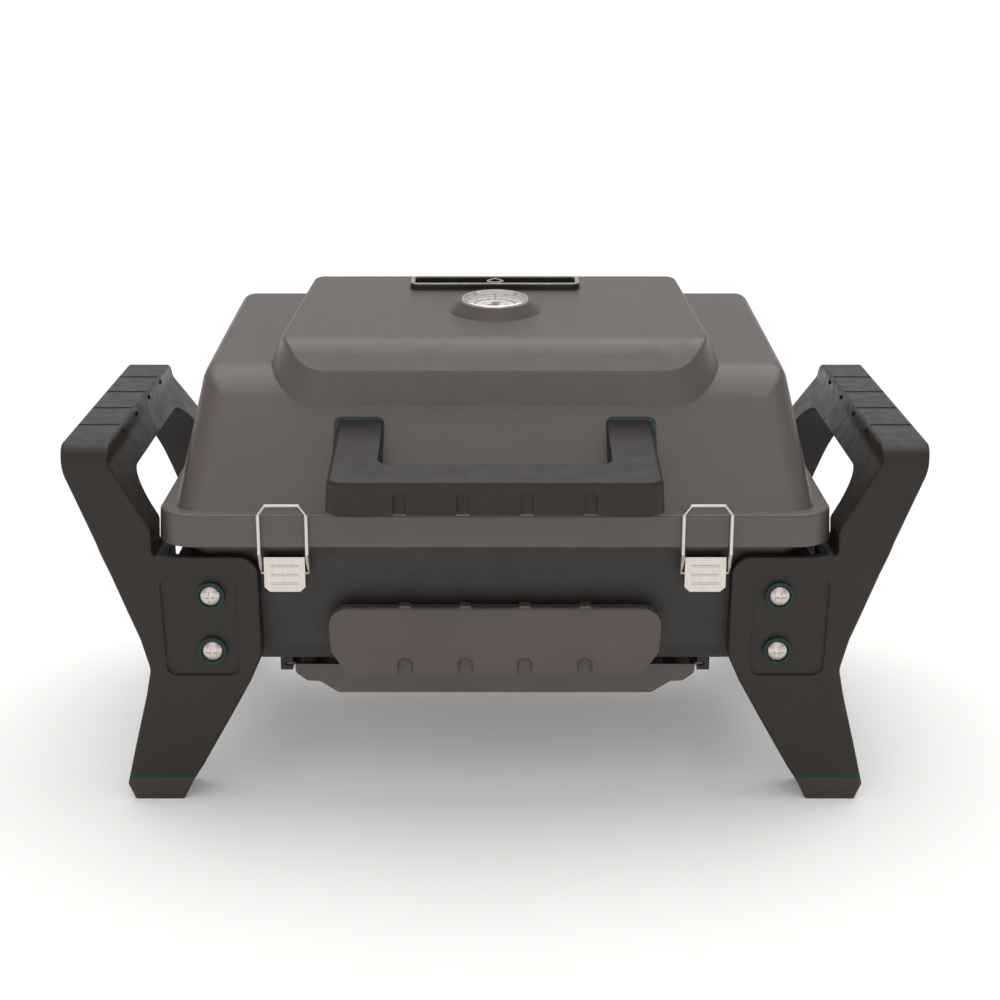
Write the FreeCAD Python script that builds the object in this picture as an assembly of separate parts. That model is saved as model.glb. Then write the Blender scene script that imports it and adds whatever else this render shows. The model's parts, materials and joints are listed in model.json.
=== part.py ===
import FreeCAD, Part
import math
import os

# Portable tabletop gas grill.  Millimetres, +Z up, +X to the right of somebody
# standing in front of the lid handle, -Y towards them.
V = FreeCAD.Vector
os.makedirs("parts", exist_ok=True)

# ---------------------------------------------------------------- dimensions
BODY_Y = 9.75            # puts the origin under the middle of the whole object

# side frames
GRIP_TOP = 265.2         # height of the carrying grips
GRIP_DROP = 28.0         # grip section, top to underside
FRAME_FRONT = 154.3      # front face of the legs
ARM_TOP_Y = 136.0        # front face of the arm at grip height
LEG_DEPTH = 35.3         # arm and leg section, front to back
BRACKET_TOP = 188.4      # upper edge of the plate screwed to the firebox
FOOT_TOP = 16.8
STRIP_TOP = 19.4
PANEL_DEPTH = 1.8        # recess the frame screws sit in
FRAME_SCREW_X = 203.4
FRAME_SCREW_Z = (117.2, 159.1)

# firebox
BOX_TOP = 196.6
BOX_BOTTOM = 100.0
BOX_HALF_X = 223.0
BOX_HALF_Y = 146.5
BOX_WALL = 3.0
BEAD_LOW = 191.8

# lid
RIM_Z0 = 197.0
RIM_Z1 = 220.3
RIM_HALF_X = 240.6
RIM_HALF_Y = 158.0
RIM_CORNER = 28.0
LID_WALL = 3.4
SHOULDER_RISE = 0.115    # slope of the lid top beside the raised centre
CENTRE_RISE = 0.072      # slope of the raised centre
HINGE_Y = 171.0
HINGE_Z = 205.0
HINGE_X = 118.0
HINGE_PIN_R = 3.0
RUNNING = 0.05           # radial clearance of a turning fit

# lid handle
HANDLE_FRONT = 198.0
HANDLE_Z0 = 233.0
HANDLE_Z1 = 256.0
HANDLE_HALF = 115.5
HANDLE_GAP_HALF = 81.5
GRIP_NOTCH_X = (-65.0, -21.8, 21.8, 65.0)

# temperature gauge
GAUGE_Y = 29.5
GAUGE_R = 26.3
BADGE_Y = 103.0

# latches
LATCH_X = 149.6
LEVER_HALF = 14.6
LEVER_PIVOT = (-150.3, 185.6)
BAIL_PIVOT = (-150.2, 175.2)
BAIL_HALF = 16.9
BAIL_Y = -160.1
BAIL_TOP = 228.2

# grease tray
TRAY_HALF_Y = 118.0
PULL_NOTCH_X = (-64.5, -21.3, 21.3, 64.5)
PULL_BACK = -148.0       # back face of the pull
PLATE_Y = -146.5         # back face of the tray's front plate
PULL_SCREW_X = (-84.0, 84.0)
PULL_SCREW_Z = 124.0
RAIL_X0 = 150.5
RAIL_X1 = 159.6

# gas side, on the right
VALVE_Z = 150.0
KNOB_Y = -42.0
INLET_Y = 44.0
BURNER_Z = 128.0
BURNER_R = 11.0
PANEL_X = 250.0


# ------------------------------------------------------------------- helpers
def outline(points, place):
    """Closed face from (a, b, radius) corners; place() maps (a, b) into space."""
    count = len(points)
    starts, ends, mids = [], [], []
    for i in range(count):
        ax, ay = points[i - 1][0], points[i - 1][1]
        bx, by = points[i][0], points[i][1]
        cx, cy = points[(i + 1) % count][0], points[(i + 1) % count][1]
        radius = points[i][2] if len(points[i]) > 2 else 0.0
        ua, ub = ax - bx, ay - by
        va, vb = cx - bx, cy - by
        lu, lv = math.hypot(ua, ub), math.hypot(va, vb)
        ua, ub, va, vb = ua / lu, ub / lu, va / lv, vb / lv
        cosine = max(-1.0, min(1.0, ua * va + ub * vb))
        half = math.acos(cosine) / 2.0
        if radius < 1e-6 or half > math.pi / 2 - 1e-4:
            starts.append((bx, by))
            ends.append((bx, by))
            mids.append(None)
            continue
        back = radius / math.tan(half)
        wa, wb = ua + va, ub + vb
        lw = math.hypot(wa, wb)
        reach = radius / math.sin(half) - radius
        starts.append((bx + ua * back, by + ub * back))
        ends.append((bx + va * back, by + vb * back))
        mids.append((bx + wa / lw * reach, by + wb / lw * reach))
    edges = []
    for i in range(count):
        if mids[i] is not None:
            edges.append(Part.Arc(place(*starts[i]), place(*mids[i]), place(*ends[i])).toShape())
        a, b = ends[i], starts[(i + 1) % count]
        if math.hypot(a[0] - b[0], a[1] - b[1]) > 1e-6:
            edges.append(Part.LineSegment(place(*a), place(*b)).toShape())
    return Part.Face(Part.Wire(edges))


def prism_x(points, x0, x1):
    """Outline given as (y, z, radius), extruded along X."""
    return outline(points, lambda y, z: V(x0, y, z)).extrude(V(x1 - x0, 0, 0))


def prism_y(points, y0, y1):
    """Outline given as (x, z, radius), extruded along Y."""
    return outline(points, lambda x, z: V(x, y0, z)).extrude(V(0, y1 - y0, 0))


def prism_z(points, z0, z1):
    """Outline given as (x, y, radius), extruded along Z."""
    return outline(points, lambda x, y: V(x, y, z0)).extrude(V(0, 0, z1 - z0))


def rect(half_a, a0, a1, radius):
    return [(-half_a, a0, radius), (half_a, a0, radius), (half_a, a1, radius), (-half_a, a1, radius)]


def ring_wire(half_x, y0, y1, radius, z):
    return outline(rect(half_x, y0, y1, radius), lambda x, y: V(x, y, z)).OuterWire


def loft(*wires):
    return Part.makeLoft(list(wires), True, True)


def box(x0, x1, y0, y1, z0, z1):
    return Part.makeBox(x1 - x0, y1 - y0, z1 - z0, V(x0, y0, z0))


def rod(a, b, radius):
    a, b = V(*a), V(*b)
    return Part.makeCylinder(radius, (b - a).Length, a, b - a)


def bent_rod(points, radius):
    """Round bar along straight runs with ball-turned bends."""
    solid = rod(points[0], points[1], radius)
    for a, b in zip(points[1:-1], points[2:]):
        solid = solid.fuse(Part.makeSphere(radius, V(*a)))
        solid = solid.fuse(rod(a, b, radius))
    return solid


def fuse(shapes):
    solid = shapes[0]
    for other in shapes[1:]:
        solid = solid.fuse(other)
    return solid.removeSplitter()


def mirror_x(shape):
    return shape.mirror(V(0, 0, 0), V(1, 0, 0))


def moved(shape, x, y, z):
    copy = shape.copy()
    copy.translate(V(x, y, z))
    return copy


def edges_where(shape, keep):
    return [e for e in shape.Edges if keep(e)]


def save(name, shape):
    if shape.ShapeType == "Compound" and len(shape.Solids) == 1:
        shape = shape.Solids[0]
    shape = shape.copy()
    shape.translate(V(0, BODY_Y, 0))
    shape.exportStep("parts/" + name + ".step")


# ------------------------------------------------------------------- firebox
def firebox_solid(inset):
    """Tapered bowl, full (inset 0) or the space inside its walls."""
    i = inset
    low = BOX_BOTTOM + i
    front = prism_x([(-BOX_HALF_Y + i, BOX_TOP + (8 if i else 0)),
                     (-138.0 + i, low, 20.0 - i),
                     (138.0 - i, low, 20.0 - i),
                     (BOX_HALF_Y - i, BOX_TOP + (8 if i else 0))], -260, 260)
    side = prism_y([(-BOX_HALF_X + i, BOX_TOP + 8),
                    (-213.0 + i, low, 30.0 - i),
                    (213.0 - i, low, 30.0 - i),
                    (BOX_HALF_X - i, BOX_TOP + 8)], -200, 200)
    plan = prism_z(rect(BOX_HALF_X - i, -BOX_HALF_Y + i, BOX_HALF_Y - i, 26.0 - i), 80, 230)
    return front.common(side).common(plan)


firebox_outer = firebox_solid(0.0)


def make_firebox():
    bead = prism_z(rect(BOX_HALF_X + 4.0, -BOX_HALF_Y - 3.0, BOX_HALF_Y + 3.0, 28.0), BEAD_LOW, BOX_TOP)
    body = firebox_outer.fuse(bead)
    # two pairs of hinge ears at the back
    for x in (-HINGE_X - 12.5, -HINGE_X + 12.5, HINGE_X - 12.5, HINGE_X + 12.5):
        web = prism_x([(163.5, 205.0), (163.5, 195.0), (146.0, 190.5), (138.0, 186.0), (138.0, 162.0),
                       (146.0, 160.0), (178.5, 196.0), (178.5, 205.0)], x - 3.0, x + 3.0)
        eye = rod((x - 3.0, HINGE_Y, HINGE_Z), (x + 3.0, HINGE_Y, HINGE_Z), 7.5)
        body = body.fuse(web).fuse(eye)
    body = body.cut(firebox_solid(BOX_WALL))
    inside, holes = [], []
    for sy in (-1, 1):
        # ledges that carry the cooking grate
        y0, y1 = sorted((sy * 126.0, sy * 144.0))
        inside += [box(x - 14, x + 14, y0, y1, 171.0, 176.0) for x in (-150.0, 0.0, 150.0)]
        for sx in (-1, 1):
            # bosses for the frame screws
            for z in FRAME_SCREW_Z:
                x = sx * FRAME_SCREW_X
                inside.append(rod((x, sy * 142.0, z), (x, sy * 126.0, z), 6.5))
                holes.append(rod((x, sy * 150.0, z), (x, sy * 129.0, z), 3.0))
            # air slots each side of the grease opening
            holes.append(moved(prism_z(rect(34.0, -4.0, 4.0, 4.0), 90, 110), sx * 95.0, sy * 70.0, 0))
    body = fuse([body] + inside).common(fuse([firebox_outer, bead, box(-150, 150, 120, 190, 150, 220)]))
    holes.append(prism_z(rect(30.0, -9.0, 9.0, 9.0), 90, 110))
    for x in (-HINGE_X, HINGE_X):
        holes.append(rod((x - 20, HINGE_Y, HINGE_Z), (x + 20, HINGE_Y, HINGE_Z), HINGE_PIN_R))
    holes.append(rod((200, 0, BURNER_Z), (240, 0, BURNER_Z), BURNER_R + 0.1))
    holes.append(rod((200, 0, VALVE_Z), (240, 0, VALVE_Z), 3.1))
    for hole in holes:
        body = body.cut(hole)
    return body.removeSplitter()


firebox = make_firebox()
save("firebox", firebox)


# --------------------------------------------------------------- side frames
FRAME_OUTLINE = [
    (309.5, GRIP_TOP, 3.0), (306.5, 246.0, 30.0), (283.4, 197.8), (273.9, 174.6), (264.7, 149.8),
    (255.3, 125.1, 30.0), (249.3, 102.0, 14.0), (253.1, 82.3), (262.8, 44.0), (267.5, 24.5),
    (270.6, 11.5, 3.0), (265.7, 0.0), (229.2, 0.0), (222.2, 14.0, 3.0), (214.2, 26.5),
    (192.2, 65.4, 30.0), (177.0, 93.0, 30.0), (168.0, 113.0, 20.0), (168.6, BRACKET_TOP, 14.0),
    (243.6, BRACKET_TOP, 5.0), (243.6, 206.3, 6.0), (274.0, 252.0, 8.0), (274.0, GRIP_TOP, 3.0)]


def frame_side_view():
    """Inverted U seen from the side: legs, leaning arms, grip."""
    lean = (FRAME_FRONT - ARM_TOP_Y) / (GRIP_TOP - 191.0)
    under = GRIP_TOP - GRIP_DROP
    inner_top = ARM_TOP_Y + (GRIP_TOP - under) * lean - LEG_DEPTH
    inner_low = FRAME_FRONT - LEG_DEPTH
    outer = prism_x([(-FRAME_FRONT, 0.0), (-FRAME_FRONT, 191.0, 25.0), (-ARM_TOP_Y, GRIP_TOP, 20.0),
                     (ARM_TOP_Y, GRIP_TOP, 20.0), (FRAME_FRONT, 191.0, 25.0), (FRAME_FRONT, 0.0)],
                    160, 320)
    inner = prism_x([(-inner_low, -5.0), (-inner_low, 191.0, 25.0), (-inner_top, under, 34.0),
                     (inner_top, under, 34.0), (inner_low, 191.0, 25.0), (inner_low, -5.0)],
                    150, 330)
    return outer.cut(inner)


def make_frame_right():
    body = prism_y(FRAME_OUTLINE, -160, 160).common(frame_side_view())
    # soften the long edges of the front and back faces
    body = body.removeSplitter()

    def soften(e):
        box_ = e.BoundBox
        flat = abs(abs(box_.YMin) - FRAME_FRONT) < 0.01 and abs(abs(box_.YMax) - FRAME_FRONT) < 0.01
        return flat and box_.ZMax - box_.ZMin > 3.0 and box_.ZMin > FOOT_TOP - 12
    body = body.makeFillet(2.2, edges_where(body, soften))
    cuts = [firebox_outer]
    panel = [(184.0, 98.0, 8.0), (237.0, 98.0, 8.0), (239.5, 173.5, 8.0), (184.0, 173.5, 8.0)]
    for sy in (-1, 1):
        y0, y1 = sorted((sy * (FRAME_FRONT - PANEL_DEPTH), sy * (FRAME_FRONT + 5)))
        cuts.append(prism_y(panel, y0, y1))
        # ribbed hollow in the back of the lower leg
        pocket = prism_y([(247.0, 96.0, 6.0), (250.5, 80.0), (261.0, 38.0), (263.5, 24.0, 3.0),
                          (222.0, 24.0, 3.0), (199.0, 64.0), (181.0, 96.0, 6.0)],
                         *sorted((sy * (FRAME_FRONT - 5.0), sy * 100.0)))
        ribs = fuse([prism_y([(170, 52), (270, 52), (270, 55), (170, 55)], -160, 160),
                     prism_y([(222, 20), (225, 20), (225, 100), (222, 100)], -160, 160)])
        cuts.append(pocket.cut(ribs))
        # drain slot between the arm and the firebox corner
        y0, y1 = sorted((sy * 147.0, sy * 115.0))
        cuts.append(box(225.5, 232.5, y0, y1, 160.0, 192.0))
        for z in FRAME_SCREW_Z:
            cuts.append(rod((FRAME_SCREW_X, sy * 130, z), (FRAME_SCREW_X, sy * 160, z), 3.1))
    # finger grooves across the grip
    for y in (-77.0, -26.0, 26.0, 77.0):
        cuts.append(prism_x([(y - 2.6, GRIP_TOP + 1), (y - 1.2, GRIP_TOP - 2.4, 0.8),
                             (y + 1.2, GRIP_TOP - 2.4, 0.8), (y + 2.6, GRIP_TOP + 1)], 276.5, 320))
        cuts.append(prism_z([(308.0, y - 1.6), (315.0, y - 3.0), (315.0, y + 3.0), (308.0, y + 1.6)],
                            GRIP_TOP - 8, GRIP_TOP + 2))
    # the firebox top bead passes behind the plate
    cuts.append(prism_z(rect(BOX_HALF_X + 4.6, -BOX_HALF_Y - 3.6, BOX_HALF_Y + 3.6, 28.0),
                        BEAD_LOW - 0.4, BOX_TOP + 0.6))
    for cut in cuts:
        body = body.cut(cut)
    for y in (-77.0, -26.0, 26.0, 77.0):
        body = body.fuse(Part.makeSphere(2.4, V(274.9, y, GRIP_TOP - 4.2)))
    return body.removeSplitter()


def slab(shape, z0, z1):
    return shape.common(box(-330, 330, -200, 200, z0, z1))


frame_right = make_frame_right()
frame_left = mirror_x(frame_right)
for side, whole in (("right", frame_right), ("left", frame_left)):
    save("side_frame_" + side, slab(whole, STRIP_TOP, 300))
    for end, y0, y1 in (("front", -200, 0), ("rear", 0, 200)):
        half = whole.common(box(-330, 330, y0, y1, -5, 40))
        save("foot_strip_%s_%s" % (end, side), slab(half, FOOT_TOP, STRIP_TOP))
        save("foot_%s_%s" % (end, side), slab(half, 0.0, FOOT_TOP))


# screws: domed cross-recess heads seated in soft washers
def make_frame_fastenings():
    screws, washers = [], []
    seat = FRAME_FRONT - PANEL_DEPTH
    for sy in (-1, 1):
        for z in FRAME_SCREW_Z:
            x = FRAME_SCREW_X
            ring = rod((x, sy * seat, z), (x, sy * (seat + 3.2), z), 10.2)
            ring = ring.cut(rod((x, sy * (seat + 1.6), z), (x, sy * (seat + 9), z), 8.0))
            ring = ring.cut(rod((x, sy * (seat - 1), z), (x, sy * (seat + 9), z), 3.1))
            washers.append(ring)
            under = seat + 1.6
            dome = Part.makeSphere(9.4, V(x, sy * (under + 4.4 - 9.4), z))
            head = dome.common(rod((x, sy * under, z), (x, sy * (under + 9), z), 7.6))
            cross = box(x - 4.2, x + 4.2, min(sy * (under + 2.6), sy * (under + 9)),
                        max(sy * (under + 2.6), sy * (under + 9)), z - 0.8, z + 0.8)
            cross = cross.fuse(cross.rotated(V(x, 0, z), V(0, 1, 0), 90))
            head = head.cut(cross)
            shank = rod((x, sy * (under + 0.5), z), (x, sy * 131.0, z), 2.9)
            screws.append(head.fuse(shank).removeSplitter())
    return Part.makeCompound(screws), Part.makeCompound(washers)


screws_right, washers_right = make_frame_fastenings()
save("frame_screws_right", screws_right)
save("frame_washers_right", washers_right)
save("frame_screws_left", mirror_x(screws_right))
save("frame_washers_left", mirror_x(washers_right))


# ----------------------------------------------------------------------- lid
SLOPE_FOOT = (-149.0, RIM_Z1)       # where the front slope leaves the ledge
BEND = (-62.0, 302.1)               # front slope meets the shoulder
REAR_TOP_Y = 138.5
LID_CORNER = 20.0
LID_REAR_CORNER = 12.0
slope_run = BEND[0] - SLOPE_FOOT[0]
slope_rise = BEND[1] - SLOPE_FOOT[1]
SLOPE_ANGLE = math.degrees(math.atan2(slope_rise, slope_run))


def shoulder_z(y):
    return BEND[1] + SHOULDER_RISE * (y - BEND[0])


def centre_z(y):
    return 323.4 + CENTRE_RISE * (y + 68.0)


def plan_wire(front_half, rear_half, y0, y1, front_radius, rear_radius, z):
    return outline([(-front_half, y0, front_radius), (front_half, y0, front_radius),
                    (rear_half, y1, rear_radius), (-rear_half, y1, rear_radius)],
                   lambda x, y: V(x, y, z)).OuterWire


def lid_body(inset):
    """Main casting of the lid: sloping front, gently rising top, steep back."""
    low, high = RIM_Z1 - 14.0, 345.0
    lean = slope_run / slope_rise
    back = (149.0 - REAR_TOP_Y) / (shoulder_z(REAR_TOP_Y) - RIM_Z1)
    cant = math.hypot(1.0, lean)
    walls = []
    for z in (low, high):
        up = z - RIM_Z1
        walls.append(plan_wire(228.6 - 0.144 * up - inset, 225.0 - 0.15 * up - inset,
                               SLOPE_FOOT[0] + up * lean + inset * cant, 149.0 - up * back - inset,
                               LID_CORNER - inset, LID_REAR_CORNER - inset, z))
    drop = inset * 1.0
    top = prism_x([(-300.0, low - 40), (-300.0, BEND[1] - 238.0 / lean - drop * cant / lean),
                   (BEND[0], BEND[1] - drop, 70.0 - inset),
                   (220.0, shoulder_z(220.0) - drop), (220.0, low - 40)], -260, 260)
    return loft(*walls).common(top).removeSplitter()


def crowned(solid, radius):
    """Rounds the edge between the top and the side walls."""
    return solid.makeFillet(radius, edges_where(
        solid, lambda e: e.BoundBox.ZMin > 262 and (e.BoundBox.YMax - e.BoundBox.YMin > 2
                                                    or e.BoundBox.YMin > 130)))


def lid_centre(inset):
    """Raised middle of the lid, with a flared skirt at the front and sides."""
    back = (149.0 - REAR_TOP_Y) / (shoulder_z(REAR_TOP_Y) - RIM_Z1)
    walls = []
    for z, grow in ((276.0, 19.0), (352.0, -11.5)):
        front_y = -80.5 - (309.0 - z) * 0.13
        walls.append(plan_wire(161.0 + grow - inset, 155.0 + grow - inset, front_y + inset,
                               149.0 - (z - RIM_Z1) * back - inset, 44.0 - inset, 10.0 - inset, z))
    rear_y = 160.0
    top = prism_x([(-96.0, 294.0 - inset), (-57.0, centre_z(-57.0) - inset, 42.0),
                   (rear_y, centre_z(rear_y) - inset), (rear_y, 262.0), (-96.0, 262.0)], -220, 220)
    return loft(*walls).common(top).removeSplitter()


def on_centre(shape, y):
    """Places a shape drawn about the origin on top of the raised centre."""
    shape = shape.copy()
    shape.rotate(V(0, 0, 0), V(1, 0, 0), math.degrees(math.atan(CENTRE_RISE)))
    shape.translate(V(0, y, centre_z(y)))
    return shape


def on_slope(shape):
    """Places a shape drawn about the origin on the lid's front slope."""
    shape = shape.copy()
    shape.rotate(V(0, 0, 0), V(1, 0, 0), SLOPE_ANGLE)
    y = ROOT_Y
    shape.translate(V(0, y, SLOPE_FOOT[1] + (y - SLOPE_FOOT[0]) * slope_rise / slope_run))
    return shape


ROOT_Y = -112.5
ROOT_X = 98.9
GASKET_T = 1.5
BOSS_H = 8.5


def make_lid_shell():
    rim = loft(ring_wire(RIM_HALF_X, -RIM_HALF_Y, RIM_HALF_Y, RIM_CORNER, RIM_Z0),
               ring_wire(RIM_HALF_X - 1.2, -RIM_HALF_Y + 1.2, RIM_HALF_Y - 1.2, RIM_CORNER - 1.0, RIM_Z1))
    rim = rim.makeFillet(2.0, edges_where(rim, lambda e: e.BoundBox.ZMin > RIM_Z1 - 0.1))
    centre = lid_centre(0.0)
    centre = centre.makeFillet(3.5, edges_where(
        centre, lambda e: e.BoundBox.ZMin > 300 and (e.BoundBox.YMax - e.BoundBox.YMin > 1
                                                     or e.BoundBox.YMin < -70)))
    body = crowned(lid_body(0.0), 9.0)
    above = box(-300, 300, -250, 250, RIM_Z1 - 6.0, 400)
    boss = on_centre(Part.makeCone(39.6, 28.6, BOSS_H + 3.4, V(0, 0, -3.4)), GAUGE_Y)
    outer = fuse([rim, body.common(above), centre, boss])
    room = ring_wire(RIM_HALF_X - 3.6, -RIM_HALF_Y + 3.6, RIM_HALF_Y - 3.6, RIM_CORNER - 3.6, RIM_Z0 - 2)
    ceiling = ring_wire(RIM_HALF_X - 4.6, -RIM_HALF_Y + 4.6, RIM_HALF_Y - 4.6, RIM_CORNER - 4.6,
                        RIM_Z1 - LID_WALL)
    inner_body = crowned(lid_body(LID_WALL), 6.0).common(above)
    shell = outer.cut(loft(room, ceiling)).cut(inner_body).cut(lid_centre(LID_WALL).cut(
        on_centre(Part.makeCylinder(34.0, 20.0, V(0, 0, -4.0)), GAUGE_Y)))
    for sx in (-1, 1):
        x = sx * HINGE_X
        lug = prism_x([(154.6, 198.0), (HINGE_Y, 197.5), (HINGE_Y, 212.5), (162.0, 215.0, 4.0),
                       (154.6, 217.5)], x - 9, x + 9)
        eye = rod((x - 9, HINGE_Y, HINGE_Z), (x + 9, HINGE_Y, HINGE_Z), 7.5)
        shell = shell.fuse(lug).fuse(eye)
        shell = shell.cut(rod((x - 12, HINGE_Y, HINGE_Z), (x + 12, HINGE_Y, HINGE_Z),
                              HINGE_PIN_R + RUNNING))
        shell = shell.cut(on_slope(rod((sx * ROOT_X, 0, -30), (sx * ROOT_X, 0, 30), 2.5)))
    shell = shell.cut(on_centre(Part.makeCylinder(26.7, 20.0, V(0, 0, 2.0)), GAUGE_Y))
    shell = shell.cut(on_centre(Part.makeCylinder(5.2, 40.0, V(0, 0, -20.0)), GAUGE_Y))
    return shell.removeSplitter()


lid_shell = make_lid_shell()
save("lid_shell", lid_shell)


def make_lid_handle():
    side = prism_x([(-HANDLE_FRONT, HANDLE_Z0), (-HANDLE_FRONT, HANDLE_Z1), (-60.0, 279.0),
                    (-60.0, 240.0), (-131.0, 236.5)], -125, 125)
    front = prism_y([(-HANDLE_HALF - 0.5, HANDLE_Z0 - 1), (-HANDLE_HALF + 3.0, 285.0),
                     (HANDLE_HALF - 3.0, 285.0), (HANDLE_HALF + 0.5, HANDLE_Z0 - 1)], -220, -50)
    plan = prism_z([(-HANDLE_HALF - 2, -HANDLE_FRONT, 14.0), (HANDLE_HALF + 2, -HANDLE_FRONT, 14.0),
                    (HANDLE_HALF + 2, -50.0), (-HANDLE_HALF - 2, -50.0)], 220, 300)
    gap = prism_z([(-HANDLE_GAP_HALF, -169.0, 9.0), (HANDLE_GAP_HALF, -169.0, 9.0),
                   (HANDLE_GAP_HALF, -40.0), (-HANDLE_GAP_HALF, -40.0)], 220, 300)
    body = side.common(front).common(plan).removeSplitter()

    def rim_edge(e):
        b = e.BoundBox
        return b.ZMin > HANDLE_Z1 - 0.5 and (b.YMax - b.YMin > 1 or b.YMin < -150)
    body = body.makeFillet(3.0, edges_where(body, rim_edge))
    body = body.cut(gap)
    body = body.cut(on_slope(box(-200, 200, -200, 200, -100, GASKET_T)))
    for x in GRIP_NOTCH_X:
        body = body.cut(prism_y([(x - 4.6, 225.0), (x + 4.6, 225.0), (x + 4.6, 249.3, 4.5),
                                 (x - 4.6, 249.3, 4.5)], -210, -HANDLE_FRONT + 2.8))
    for sx in (-1, 1):
        body = body.cut(on_slope(rod((sx * ROOT_X, 0, 0), (sx * ROOT_X, 0, 16), 2.4)))
    return body.removeSplitter()


save("lid_handle", make_lid_handle())

for side, sx in (("right", 1), ("left", -1)):
    pad = prism_z([(80.7, -27.8, 5.0), (116.6, -27.8, 5.0), (116.6, 28.6, 5.0), (80.7, 28.6, 5.0)],
                  0.0, GASKET_T)
    pad = pad.cut(rod((ROOT_X, 0, -1), (ROOT_X, 0, 3), 2.5))
    screw = rod((ROOT_X, 0, -LID_WALL), (ROOT_X, 0, 14), 2.35)
    head = rod((ROOT_X, 0, -LID_WALL - 3.0), (ROOT_X, 0, -LID_WALL), 5.0)
    screw = screw.fuse(head).removeSplitter()
    if sx < 0:
        pad, screw = mirror_x(pad), mirror_x(screw)
    save("lid_handle_gasket_" + side, on_slope(pad))
    save("lid_handle_screw_" + side, on_slope(screw))

# hinge pins, held in the firebox ears
for side, sx in (("right", 1), ("left", -1)):
    x = sx * HINGE_X
    pin = rod((x - 17.0, HINGE_Y, HINGE_Z), (x + 17.0, HINGE_Y, HINGE_Z), HINGE_PIN_R)
    for end in (-1, 1):
        pin = pin.fuse(rod((x + end * 15.5, HINGE_Y, HINGE_Z), (x + end * 17.5, HINGE_Y, HINGE_Z), 4.6))
    save("hinge_pin_" + side, pin.removeSplitter())

# -------------------------------------------------------- temperature gauge
POINTER_REST = 135.0     # the needle's cold end, turned from the back of the dial
case = Part.makeCylinder(GAUGE_R, 7.6, V(0, 0, 2.0))
case = case.makeFillet(1.6, edges_where(case, lambda e: e.BoundBox.ZMin > 9.5))
case = case.cut(Part.makeCylinder(GAUGE_R - 2.4, 10.0, V(0, 0, 3.0)))
case = case.cut(Part.makeCylinder(3.1, 10.0, V(0, 0, 0.0)))
save("gauge_case", on_centre(case, GAUGE_Y))
dial = Part.makeCylinder(GAUGE_R - 2.4, 0.8, V(0, 0, 3.0)).cut(Part.makeCylinder(1.6, 4.0, V(0, 0, 2.0)))
save("gauge_dial", on_centre(dial, GAUGE_Y))
lens = Part.makeCylinder(GAUGE_R - 2.4, 1.2, V(0, 0, 7.2))
save("gauge_lens", on_centre(lens, GAUGE_Y))
stem = fuse([Part.makeCylinder(3.0, 52.0, V(0, 0, -50.0)), Part.makeCylinder(5.0, 16.0, V(0, 0, -14.0)),
             Part.makeCylinder(0.8, 4.6, V(0, 0, 1.5)), Part.makeCylinder(1.5, 2.6, V(0, 0, 1.5))])
save("gauge_stem", on_centre(stem, GAUGE_Y))
hexagon = [(9.0 * math.cos(math.radians(a)), 9.0 * math.sin(math.radians(a))) for a in range(0, 360, 60)]
nut = prism_z(hexagon, -9.0, -4.0).cut(Part.makeCylinder(5.0, 20.0, V(0, 0, -15.0)))
save("gauge_nut", on_centre(nut, GAUGE_Y))
pointer = Part.makeCylinder(2.6, 1.0, V(0, 0, 4.5)).fuse(
    prism_z([(-1.0, -6.0), (1.0, -6.0), (0.35, 18.0), (-0.35, 18.0)], 4.7, 5.2))
pointer = pointer.cut(Part.makeCylinder(0.8 + RUNNING, 4.0, V(0, 0, 3.5)))
pointer.rotate(V(0, 0, 0), V(0, 0, 1), POINTER_REST)
save("gauge_pointer", on_centre(pointer.removeSplitter(), GAUGE_Y))

# ----------------------------------------------------------------- lid badge
def flame(grow):
    side, foot = 4.0 + grow, 6.0 + grow
    return [(0.0, 8.2 + 1.6 * grow), (7.2 + grow, -0.8, side), (7.2 + grow, -8.6 - grow, foot),
            (-7.2 - grow, -8.6 - grow, foot), (-7.2 - grow, -0.8, side)]


def cartouche(grow, z0, z1):
    reach, half = 69.0 + grow, 13.5 + grow
    return prism_z([(-reach, -half, 7.0 + grow), (reach, -half, 7.0 + grow), (reach, half, 7.0 + grow),
                    (-reach, half, 7.0 + grow)], z0, z1)


def emblem(grow, z0, z1):
    """A plain outlined nameplate with a flame drop in the middle."""
    ring = cartouche(grow, z0, z1).cut(cartouche(-4.0 - grow, z0 - 1, z1 + 1))
    drop = prism_z(flame(grow), z0, z1).cut(prism_z(flame(-3.0 - grow), z0 - 1, z1 + 1))
    return fuse([ring, drop])


save("badge_base", on_centre(emblem(0.0, 0.0, 4.2), BADGE_Y))
save("badge_face", on_centre(emblem(-0.5, 4.2, 5.0), BADGE_Y))


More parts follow.
